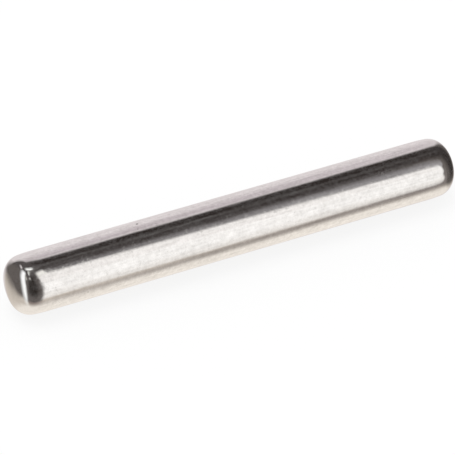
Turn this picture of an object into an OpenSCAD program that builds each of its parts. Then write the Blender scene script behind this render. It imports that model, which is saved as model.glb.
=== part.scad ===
// Bearing roller: a long, slim rolling element of hardened steel, in one solid piece.
// It lies along X, with its middle at the origin.
// The end profile is four curves that run into each other without an edge: the barrel,
// a shallow relief, a rounded corner and a domed end face.

/* [Barrel] */
// Diameter of the ground barrel
roller_d = 5; // [4.5:0.25:8]
// Overall length, from the top of one dome to the top of the other
roller_l = 39.8; // [20:0.2:60]

/* [Relief] */
// Length of the shallow relief between the barrel and the rounded corner
relief_l = 1.2; // [0.5:0.05:3]
// How far the relief has drawn the radius in where the corner starts
relief_drop = 0.052; // [0.01:0.001:0.08]

/* [End] */
// Radius of the rounded corner
corner_r = 1.5; // [0.5:0.05:2]
// Radius of the domed end face
dome_r = 5.2; // [4.5:0.1:12]

/* [Hidden] */

// Facets: round the axis, and round each circle of the end profile
TURN_FACETS = 96;
CORNER_FACETS = 96;
DOME_FACETS = 192;
RELIEF_FACETS = 720;

// Finest step, in mm, for the heights at which two pieces of the section meet,
// so that both pieces get the very same height
MEETING_STEP = 0.0001;
function meeting(height) = round(height / MEETING_STEP) * MEETING_STEP;

barrel_r = roller_d / 2;

// Relief: an arc that leaves the barrel without an edge and has dropped by relief_drop
// after relief_l. All heights below are measured from where this arc starts.
relief_r = (relief_l * relief_l + relief_drop * relief_drop) / (2 * relief_drop);
relief_angle = asin(relief_l / relief_r);

// Corner: its centre lies on the line from the relief's centre to the relief's end,
// so that the two arcs share one tangent there
corner_x = barrel_r - relief_drop - corner_r * cos(relief_angle);
corner_z = relief_l - corner_r * sin(relief_angle);

// Dome: its centre is on the axis, dome_r - corner_r from the corner's centre,
// so that the corner runs into the dome without an edge
dome_z = corner_z - sqrt(pow(dome_r - corner_r, 2) - pow(corner_x, 2));
dome_angle = asin((corner_z - dome_z) / (dome_r - corner_r));
corner_end_z = meeting(corner_z + corner_r * sin(dome_angle));
tip_z = dome_z + dome_r;

// Half of the straight barrel
half_barrel = meeting(roller_l / 2 - tip_z);

// Keeps what lies between two heights, on the outer side of the axis
module between(low_z, high_z) {
    intersection() {
        children();
        translate([0, low_z]) square([barrel_r, high_z - low_z]);
    }
}

// Half section of one end, standing on the plane where the relief starts
module end_section() {
    between(0, relief_l)
        translate([barrel_r - relief_r, 0]) circle(r = relief_r, $fn = RELIEF_FACETS);
    between(relief_l, corner_end_z) {
        translate([corner_x, corner_z]) circle(r = corner_r, $fn = CORNER_FACETS);
        square([corner_x, corner_end_z]);
    }
    between(corner_end_z, tip_z)
        translate([0, dome_z]) circle(r = dome_r, $fn = DOME_FACETS);
}

module roller_section() {
    translate([0, -half_barrel]) square([barrel_r, 2 * half_barrel]);
    for (side = [0, 1])
        mirror([0, side]) translate([0, half_barrel]) end_section();
}

module roller() {
    color([0.86, 0.85, 0.84])
        rotate([0, 90, 0])
            rotate_extrude($fn = TURN_FACETS) roller_section();
}

roller();
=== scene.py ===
import math
import bmesh
import bpy
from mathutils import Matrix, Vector


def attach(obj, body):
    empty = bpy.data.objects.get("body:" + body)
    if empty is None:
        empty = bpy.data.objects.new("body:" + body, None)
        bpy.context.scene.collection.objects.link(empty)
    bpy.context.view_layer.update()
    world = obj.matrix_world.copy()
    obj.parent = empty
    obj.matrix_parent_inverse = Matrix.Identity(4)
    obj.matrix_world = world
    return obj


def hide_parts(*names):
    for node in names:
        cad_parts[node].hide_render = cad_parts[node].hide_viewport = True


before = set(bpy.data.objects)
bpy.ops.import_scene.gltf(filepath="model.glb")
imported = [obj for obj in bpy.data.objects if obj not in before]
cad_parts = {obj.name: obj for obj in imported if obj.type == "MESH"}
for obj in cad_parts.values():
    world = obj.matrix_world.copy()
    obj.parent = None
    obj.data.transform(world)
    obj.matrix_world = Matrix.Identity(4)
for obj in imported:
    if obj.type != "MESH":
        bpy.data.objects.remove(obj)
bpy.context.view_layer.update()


# Roller: one solid piece of hardened bearing steel. Its barrel is ground to size between wheels, and its
# domed ends and rounded corners keep the brighter skin that tumbling gave them. Nothing holds it: in a
# bearing it rolls between two races, and here it lies on its barrel.
roller_d = 0.005
roller_l = 0.0398
relief_l = 0.0012
relief_drop = 0.000052
corner_r = 0.0015
dome_r = 0.0052

dome_steps = 28
corner_steps = 40
relief_steps = 12
barrel_cuts = 23
turn_steps = 216
merge_dist = 1e-7

barrel_r = roller_d / 2
relief_r = (relief_l ** 2 + relief_drop ** 2) / (2 * relief_drop)
relief_angle = math.asin(relief_l / relief_r)
corner_x = barrel_r - relief_drop - corner_r * math.cos(relief_angle)
corner_z = relief_l - corner_r * math.sin(relief_angle)
dome_z = corner_z - math.sqrt((dome_r - corner_r) ** 2 - corner_x ** 2)
dome_angle = math.asin((corner_z - dome_z) / (dome_r - corner_r))
tip_z = dome_z + dome_r
half_barrel = roller_l / 2 - tip_z

shape = bmesh.new()
tip = bmesh.ops.create_vert(shape, co=(roller_l / 2, 0, 0))["vert"][0]


def swing(start, centre, angle, steps):
    """Carries a point round a centre in the plane of the profile, leaving the arc behind it."""
    made = bmesh.ops.spin(shape, geom=[start], cent=centre, axis=(0, -1, 0), angle=angle, steps=steps,
                          use_duplicate=False)
    return [v for v in made["geom_last"] if isinstance(v, bmesh.types.BMVert)][0]


dome_centre = (half_barrel + dome_z, 0, 0)
corner_centre = (half_barrel + corner_z, 0, corner_x)
relief_centre = (half_barrel, 0, barrel_r - relief_r)
dome_end = swing(tip, dome_centre, math.pi / 2 - dome_angle, dome_steps)
corner_end = swing(dome_end, corner_centre, dome_angle - relief_angle, corner_steps)
barrel_end = swing(corner_end, relief_centre, relief_angle, relief_steps)
barrel_edge = bmesh.ops.extrude_vert_indiv(shape, verts=[barrel_end])
middle = barrel_edge["verts"][0]
middle.co = Vector((0, 0, barrel_r))
bmesh.ops.subdivide_edges(shape, edges=barrel_edge["edges"], cuts=barrel_cuts, use_grid_fill=False)
bmesh.ops.spin(shape, geom=shape.verts[:] + shape.edges[:], cent=(0, 0, 0), axis=(1, 0, 0),
               angle=math.tau, steps=turn_steps, use_merge=True, use_duplicate=False)
bmesh.ops.mirror(shape, geom=shape.verts[:] + shape.edges[:] + shape.faces[:], axis="X",
                 merge_dist=merge_dist)
bmesh.ops.remove_doubles(shape, verts=shape.verts[:], dist=merge_dist)
bmesh.ops.recalc_face_normals(shape, faces=shape.faces[:])
for face in shape.faces:
    face.smooth = True
roller_mesh = bpy.data.meshes.new("ground_roller")
shape.to_mesh(roller_mesh)
shape.free()
roller = bpy.data.objects.new("ground_roller", roller_mesh)
bpy.context.scene.collection.objects.link(roller)


class Sock:
    """An output of a node. Arithmetic on it adds Math nodes."""

    def __init__(self, tree, socket):
        self.tree = tree
        self.socket = socket

    def math(self, operation, *others):
        return self.tree.node("ShaderNodeMath", {"operation": operation}, [self, *others])

    def __add__(self, other):
        return self.math("ADD", other)

    def __radd__(self, other):
        return self.math("ADD", other)

    def __sub__(self, other):
        return self.math("SUBTRACT", other)

    def __rsub__(self, other):
        return self.tree.node("ShaderNodeMath", {"operation": "SUBTRACT"}, [other, self])

    def __mul__(self, other):
        return self.math("MULTIPLY", other)

    def __rmul__(self, other):
        return self.math("MULTIPLY", other)


class Tree:
    """The emptied node tree of a material or a world."""

    def __init__(self, owner):
        owner.use_nodes = True
        self.nodes = owner.node_tree.nodes
        self.links = owner.node_tree.links
        self.nodes.clear()

    def node(self, kind, settings=None, values=(), out=0):
        """Adds a node: its settings first, then the values or links of its sockets."""
        made = self.nodes.new(kind)
        for name, value in (settings or {}).items():
            setattr(made, name, value)
        for key, value in values.items() if isinstance(values, dict) else enumerate(values):
            if isinstance(value, Sock):
                self.links.new(value.socket, made.inputs[key])
            else:
                made.inputs[key].default_value = value
        if not made.outputs:
            return None
        if isinstance(out, list):
            return [Sock(self, made.outputs[name]) for name in out]
        return Sock(self, made.outputs[out])

    def mix(self, factor, first, second):
        """Blends two colours, either of them a link or three numbers."""
        first, second = [c if isinstance(c, Sock) else (*c, 1.0) for c in (first, second)]
        return self.node("ShaderNodeMix", {"data_type": "RGBA"}, {0: factor, 6: first, 7: second}, out=2)


# Grinding leaves a fine speckle and lengthwise lines, about a third as strong on the tumbled ends.
# Dimples scatter the light, and a faint haze dulls the shine. Each pattern is moved off the others.
grey_steel = (0.73, 0.727, 0.723)
bright_steel = (0.97, 0.97, 0.97)
stained_steel = (0.05, 0.045, 0.04)
lapped = 0.035
dimpled = 0.30
full_metal = 1.0
hazy_metal = 0.963
steel = bpy.data.materials.new("ground_steel")
st = Tree(steel)
place = st.node("ShaderNodeTexCoord", out="Object")
speckle = st.node("ShaderNodeTexNoise", None,
                  {"Vector": place, "Scale": 2400.0, "Detail": 3.0, "Roughness": 0.75})
cloudy = st.node("ShaderNodeTexNoise", None,
                 {"Vector": place, "Scale": 500.0, "Detail": 2.0, "Roughness": 0.5})
beyond = st.node("ShaderNodeVectorMath", {"operation": "ADD"}, [place, (0.7, 0.3, 0.5)])
dimples = st.node("ShaderNodeTexNoise", None,
                  {"Vector": beyond, "Scale": 2800.0, "Detail": 3.0, "Roughness": 0.7})
aside = st.node("ShaderNodeVectorMath", {"operation": "ADD"}, [place, (0.2, 0.9, 0.4)])
haze = st.node("ShaderNodeTexNoise", None,
               {"Vector": aside, "Scale": 4000.0, "Detail": 2.0, "Roughness": 0.7})
drawn = st.node("ShaderNodeMapping", {"vector_type": "POINT"},
                {"Vector": place, "Scale": (300.0, 5500.0, 5500.0)})
lines = st.node("ShaderNodeTexNoise", None,
                {"Vector": drawn, "Scale": 1.0, "Detail": 2.0, "Roughness": 0.5})
along = st.node("ShaderNodeSeparateXYZ", None, [place])
ends = st.node("ShaderNodeMapRange", None,
               [along.math("ABSOLUTE"), half_barrel, half_barrel + corner_r, 0.0, 1.0])
grit = 1 - ends * 0.65
grain = (speckle * 0.6 + cloudy * 0.12 + lines * 0.28 - 0.5) * grit
light = st.node("ShaderNodeMapRange", None, [grain, -0.15, 0.15, 0.0, 1.0])
tint = st.mix(light, grey_steel, bright_steel)

# Small marks from handling: where each sits, its radius, how dark it is and how rough.
marks = [
    ((-0.00836, 0.00047, 0.00245), 0.00014, 0.80, 1.0),
    ((-0.00862, -0.00023, 0.00249), 0.00010, 0.25, 1.0),
    ((-0.01159, -0.00178, 0.00176), 0.00010, 0.08, 0.3),
    ((-0.01145, -0.00243, 0.00057), 0.00010, 0.06, 0.3),
    ((-0.01403, -0.00245, -0.00051), 0.00011, 0.20, 1.0),
    ((0.01294, -0.00143, 0.00205), 0.00013, 0.00, 1.0),
]
stain = 0.0
dull = 0.0
for centre, radius, dark, worn in marks:
    reach = st.node("ShaderNodeVectorMath", {"operation": "DISTANCE"}, [place, centre], out="Value")
    pit = st.node("ShaderNodeMapRange", {"interpolation_type": "SMOOTHSTEP"},
                  [reach, radius * 0.3, radius, 1.0, 0.0])
    stain = pit * dark + stain
    dull = pit * worn + dull
tint = st.mix(stain, tint, stained_steel)
rough = st.node("ShaderNodeMapRange", None, [dimples * grit, 0.5, 0.8, lapped, dimpled]) + dull * 0.35
mottle = (haze * 0.6 + lines * 0.4 - 0.5) * grit
metal = st.node("ShaderNodeMapRange", None, [mottle, -0.08, 0.10, full_metal, hazy_metal])
height = (speckle * 0.55 + lines * 0.45) * (1 - ends * 0.9) - dull * 0.25
bump = st.node("ShaderNodeBump", None, {"Strength": 0.04, "Distance": 0.0001, "Height": height})
shader = st.node("ShaderNodeBsdfPrincipled", None,
                 {"Base Color": tint, "Metallic": metal, "Roughness": rough, "Normal": bump})
st.node("ShaderNodeOutputMaterial", None, {"Surface": shader})
roller_mesh.materials.append(steel)
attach(roller, "root")
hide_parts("roller")


# Floor: a plain white board that the roller lies on, wide enough to fill the view. It is lit as any
# matt board is, and it glows for the camera alone, so that it reads as clean white and keeps the shadow.
board_size = 1.2
board_white = (0.92, 0.92, 0.92, 1.0)
glow_share = 0.85
board = bmesh.new()
bmesh.ops.create_grid(board, x_segments=1, y_segments=1, size=board_size)
bmesh.ops.translate(board, verts=board.verts[:], vec=(0, 0, -barrel_r))
floor_mesh = bpy.data.meshes.new("floor")
board.to_mesh(floor_mesh)
board.free()
floor = bpy.data.objects.new("floor", floor_mesh)
bpy.context.scene.collection.objects.link(floor)
matt = bpy.data.materials.new("white_board")
mt = Tree(matt)
paint = mt.node("ShaderNodeBsdfDiffuse", None, {"Color": board_white})
glow = mt.node("ShaderNodeEmission", None, {"Color": (1.0, 1.0, 1.0, 1.0), "Strength": 1.0})
seen = mt.node("ShaderNodeLightPath", out="Is Camera Ray")
white = mt.node("ShaderNodeMixShader", None, [seen * glow_share, paint, glow])
mt.node("ShaderNodeOutputMaterial", None, {"Surface": white})
floor_mesh.materials.append(matt)
floor.visible_glossy = False


# Light tent: a cloth dome round the roller. Cream cloth lies below it, a grey wall stands behind, two
# tall white panels stand in front beside dark openings, and a few small lamps hang above. Only the
# polished steel sees it.
# The dome glows with these painted colours and lights nothing: they show only as painted reflections in the
# steel.
tent_radius = 0.6
dim_cloth = (0.080, 0.069, 0.067)
tan_cloth = (0.64, 0.57, 0.50)
cream_cloth = (0.95, 0.88, 0.80)
dome = bmesh.new()
bmesh.ops.create_uvsphere(dome, u_segments=64, v_segments=32, radius=tent_radius)
bmesh.ops.reverse_faces(dome, faces=dome.faces[:])
tent_mesh = bpy.data.meshes.new("light_tent")
dome.to_mesh(tent_mesh)
dome.free()
tent = bpy.data.objects.new("light_tent", tent_mesh)
bpy.context.scene.collection.objects.link(tent)
cloth = bpy.data.materials.new("tent_cloth")
ct = Tree(cloth)
spot = ct.node("ShaderNodeTexCoord", out="Object")
way = ct.node("ShaderNodeVectorMath", {"operation": "NORMALIZE"}, [spot])


def facing(yaw, rise):
    """The direction at a turn from the front and a height above level, both in degrees."""
    yaw, rise = math.radians(yaw), math.radians(rise)
    return Vector((math.sin(yaw) * math.cos(rise), -math.cos(yaw) * math.cos(rise), math.sin(rise)))


def side(normal, soft, height=0.0):
    """1 on the side of a plane that its normal points to, falling to 0 over soft degrees each way."""
    reach = ct.node("ShaderNodeVectorMath", {"operation": "DOT_PRODUCT"}, [way, normal], out="Value")
    soft = math.radians(soft)
    return ct.node("ShaderNodeMapRange", {"interpolation_type": "SMOOTHSTEP"},
                   [reach, height - soft, height + soft, 0.0, 1.0])


# Each panel's corners as turn, height and softness of the side that follows, then its colour. A later
# panel hangs in front of an earlier one.
panels = [
    ("back wall", [(114.5, -49, 4), (209, -19.5, 2.5), (201, 13.5, 14), (149.5, 59, 4.5), (143.5, 60, 6)],
     (0.79, 0.73, 0.73)),
    ("wall seam", [(144, 65, 14), (148.5, 21.5, 14), (168.5, 49.5, 3.5), (128.5, 47, 4)],
     (0.43, 0.36, 0.39)),
    ("wall edge", [(172, 22.5, 2.5), (174, 15, 1), (156.5, 48.5, 1), (159.5, 50.5, 1.5)],
     (0.56, 0.50, 0.50)),
    ("dark left", [(-177, -21, 13.5), (-75.5, -15.5, 1), (-84.5, 13.5, 1), (-116.5, 52, 1), (-130.5, 46, 14)],
     (0.121, 0.104, 0.096)),
    ("dark right", [(30, -35.5, 10), (137.5, -22, 11), (132.5, 44.5, 14), (114.5, 74, 1), (50, 57, 1),
                    (16.5, 25.5, 1)],
     (0.117, 0.101, 0.092)),
    ("dark right core", [(68, -28, 14), (106, -24, 6.5), (155.5, 66, 3.5), (60, 72, 14)],
     (0.033, 0.026, 0.024)),
    ("ceiling slot", [(83, 68, 9), (101, 53, 6.5), (121.5, 84.5, 8.5), (76.5, 70.5, 9.5)],
     (0.113, 0.103, 0.099)),
    ("edge shade", [(21.5, -44, 14), (38.5, -58.5, 9.5), (42, 23, 6.5)], (0.281, 0.246, 0.230)),
    ("top shade", [(34, 16, 1), (45, 35.5, 1), (49.5, 42, 14), (31, 59.5, 3)], (0.375, 0.355, 0.36)),
    ("camera side", [(-69.5, -25, 4.5), (13.5, -40, 1), (13.5, 44, 8.5), (-60, 54, 9)],
     (0.135, 0.118, 0.111)),
    ("camera body", [(-37, -7, 14), (7.5, -17.5, 2.5), (10, 61.5, 6.5), (-37.5, 51.5, 10)],
     (0.032, 0.026, 0.023)),
    ("camera foot", [(-45, -44.5, 14), (20, -52.5, 3.5), (13.5, -39.5, 1), (-44.5, -29, 6.5)],
     (0.260, 0.212, 0.192)),
    ("left panel foot", [(-53.5, -45.5, 9), (-46.5, -13.5, 9.5), (-57.5, 28.5, 8.5), (-80.5, 26, 13.5)],
     (1.15, 1.15, 1.13)),
    ("left panel top", [(-87, 26.5, 10), (-54, 9, 6.5), (-76.5, 67.5, 7), (-114, 58, 11.5)],
     (1.15, 1.15, 1.15)),
    ("right panel foot", [(12, -36, 14), (25, -32, 5), (36, -29, 1), (33, 5.5, 6.5), (11.5, 1.5, 1.5)],
     (0.95, 0.91, 0.87)),
    ("right panel", [(11.5, -10, 8), (32.5, -12, 1.5), (36.5, 17, 1.5), (40.5, 33, 8), (12, 31.5, 2)],
     (1.06, 1.03, 1.00)),
    ("right panel bend", [(12.5, 29.5, 1), (33.5, 19, 3), (29, 56.5, 2), (15, 52, 1.5)],
     (1.00, 0.96, 0.93)),
    ("right panel top", [(15.5, 52.5, 1), (27.5, 53.5, 1), (43.5, 69, 5.5), (24, 68, 1.5)],
     (0.97, 0.94, 0.89)),
    ("overhead bar", [(-97, 77.5, 8.5), (-130.5, 74.5, 6.5), (116.5, 80.5, 1), (61, 80.5, 2.5)],
     (1.15, 1.15, 1.12)),
    ("overhead spot", [(-41.5, 69.5, 1.5), (-34.5, 67, 9.5), (0.5, 81, 12), (-58, 79, 1.5)],
     (1.15, 1.15, 1.08)),
    ("side lamp", [(-149, 47, 5.5), (-124.5, 54, 3.5), (-127.5, 61, 3), (-150.5, 53, 5.5)],
     (0.75, 0.70, 0.70)),
    ("small lamp", [(-31.5, 49.5, 5), (-13, 50, 3.5), (-16.5, 58.5, 2), (-32.5, 57, 1)],
     (0.44, 0.42, 0.40)),
    ("faint lamp", [(-64.5, 47.5, 1), (-49.5, 42, 1), (-46.5, 48.5, 3), (-76, 61.5, 1)],
     (0.44, 0.43, 0.39)),
]
down = Vector((0, 0, -1))
colour = ct.mix(side(down, 10.4, math.sin(math.radians(20.6))), dim_cloth, tan_cloth)
colour = ct.mix(side(down, 7.0, math.sin(math.radians(48.3))), colour, cream_cloth)
for name, corners, shade in panels:
    ways = [facing(yaw, rise) for yaw, rise, soft in corners]
    middle = sum(ways, Vector())
    mask = None
    for number, (yaw, rise, soft) in enumerate(corners):
        normal = ways[number].cross(ways[(number + 1) % len(ways)]).normalized()
        if normal.dot(middle) < 0:
            normal.negate()
        edge = side(normal, soft)
        mask = edge if mask is None else mask * edge
    colour = ct.mix(mask, colour, shade)
lit = ct.node("ShaderNodeEmission", None, {"Color": colour, "Strength": 1.0})
ct.node("ShaderNodeOutputMaterial", None, {"Surface": lit})
tent_mesh.materials.append(cloth)
tent.visible_camera = False
tent.visible_diffuse = False
tent.visible_shadow = False
tent.visible_transmission = False
tent.visible_volume_scatter = False


# Light: an even white sky lights everything matt, and one wide soft lamp overhead gives the roller its
# faint shadow. The polished steel mirrors neither of them, because the tent is all that it sees.
sky = bpy.data.worlds.new("sky")
bpy.context.scene.world = sky
wt = Tree(sky)
even = wt.node("ShaderNodeBackground", None, {"Color": (1.0, 1.0, 1.0, 1.0), "Strength": 0.9})
clear = wt.node("ShaderNodeBackground", None, {"Color": (1.0, 1.0, 1.0, 1.0), "Strength": 1.0})
camera_ray, glossy_ray, passing_ray = wt.node(
    "ShaderNodeLightPath", out=["Is Camera Ray", "Is Glossy Ray", "Is Transmission Ray"])
seen = camera_ray.math("MAXIMUM", glossy_ray).math("MAXIMUM", passing_ray)
wt.node("ShaderNodeOutputWorld", None, {"Surface": wt.node("ShaderNodeMixShader", None, [seen, even, clear])})
lamp_data = bpy.data.lights.new("soft_lamp", "AREA")
lamp_data.shape = "DISK"
lamp_data.size = 0.25
lamp_data.energy = 0.35
lamp = bpy.data.objects.new("soft_lamp", lamp_data)
lamp.location = (-0.06, 0.05, 0.35)
lamp.rotation_mode = "QUATERNION"
lamp.rotation_quaternion = lamp.location.to_track_quat("Z", "Y")
lamp.visible_glossy = False
bpy.context.scene.collection.objects.link(lamp)


# Camera: a long lens 0.3 m from the roller, looking down at one end from the front. It is sharp all
# through, and colours show as they are written.
backward = Vector((-0.354832, -0.725391, 0.589832))
lens = bpy.data.cameras.new("camera")
lens.lens = 286.751
lens.sensor_width = 36
lens.clip_start = 0.01
lens.clip_end = 5
camera = bpy.data.objects.new("camera", lens)
camera.location = (-0.1050595, -0.2137507, 0.1737008)
camera.rotation_mode = "QUATERNION"
camera.rotation_quaternion = backward.to_track_quat("Z", "Y")
bpy.context.scene.collection.objects.link(camera)
bpy.context.scene.camera = camera
bpy.context.scene.view_settings.view_transform = "Standard"
